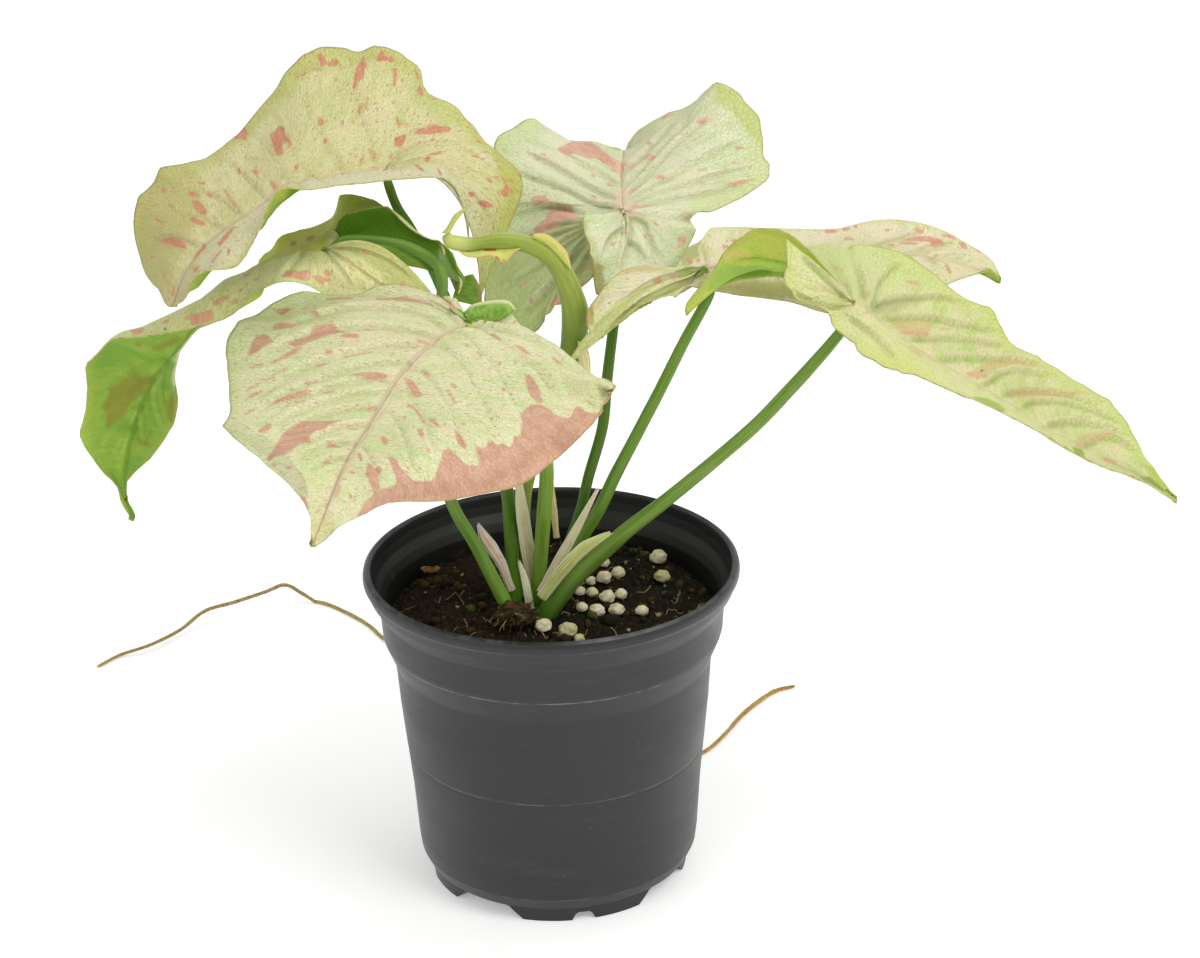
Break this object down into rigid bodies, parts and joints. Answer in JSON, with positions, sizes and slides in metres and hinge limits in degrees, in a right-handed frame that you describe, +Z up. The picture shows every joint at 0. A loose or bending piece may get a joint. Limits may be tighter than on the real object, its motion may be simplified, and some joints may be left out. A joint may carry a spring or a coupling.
{
  "type": "potted syngonium",
  "caption": "Arrowhead-leaved house plant with broad pale blotched leaves on long arching stalks, growing from peat in a round black nursery pot, with loose wiry roots.",
  "frame": {"origin": "centre of the pot's base, on the surface it stands on", "axes": "+Z up through the pot's rim, +X to the right of the pictured front, -Y towards the front"},
  "size_m": [0.3652, 0.3171, 0.2633],
  "materials": {
    "crown": "fibrous cut stub and old root hairs",
    "granule": "matt rounded pale granules",
    "leaf": "soft satin leaf, cream-green with pink blotches",
    "litter": "dry brown leaf scrap",
    "petiole": "smooth green stalk",
    "pot": "satin moulded nursery plastic, dusty",
    "root": "wiry tan root",
    "sheath": "dry papery sheath",
    "soil": "lumpy dark peat",
    "young_leaf": "smooth rolled yellow-green leaf"
  },
  "bodies": {
    "root": {"crown_stub": "crown", "granule_01": "granule", "granule_02": "granule", "granule_03": "granule", "granule_04": "granule", "granule_05": "granule", "granule_06": "granule", "granule_07": "granule", "granule_08": "granule", "granule_09": "granule", "granule_10": "granule", "granule_11": "granule", "granule_12": "granule", "granule_13": "granule", "granule_14": "granule", "granule_15": "granule", "granule_16": "granule", "granule_17": "granule", "leaf_back": "leaf", "leaf_back_right": "leaf", "leaf_front": "leaf", "leaf_left": "leaf", "leaf_right": "leaf", "leaf_upper_left": "leaf", "litter_scrap": "litter", "petiole_back": "petiole", "petiole_back_right": "petiole", "petiole_front": "petiole", "petiole_left": "petiole", "petiole_right": "petiole", "petiole_upper_left": "petiole", "pot": "pot", "root_left": "root", "root_right": "root", "sheath_back": "sheath", "sheath_centre": "sheath", "sheath_green": "sheath", "sheath_long": "sheath", "sheath_low": "sheath", "sheath_pink": "sheath", "soil": "soil", "young_leaf_sheath": "sheath", "young_leaf_stalk": "young_leaf"}
  },
  "joints": []
}
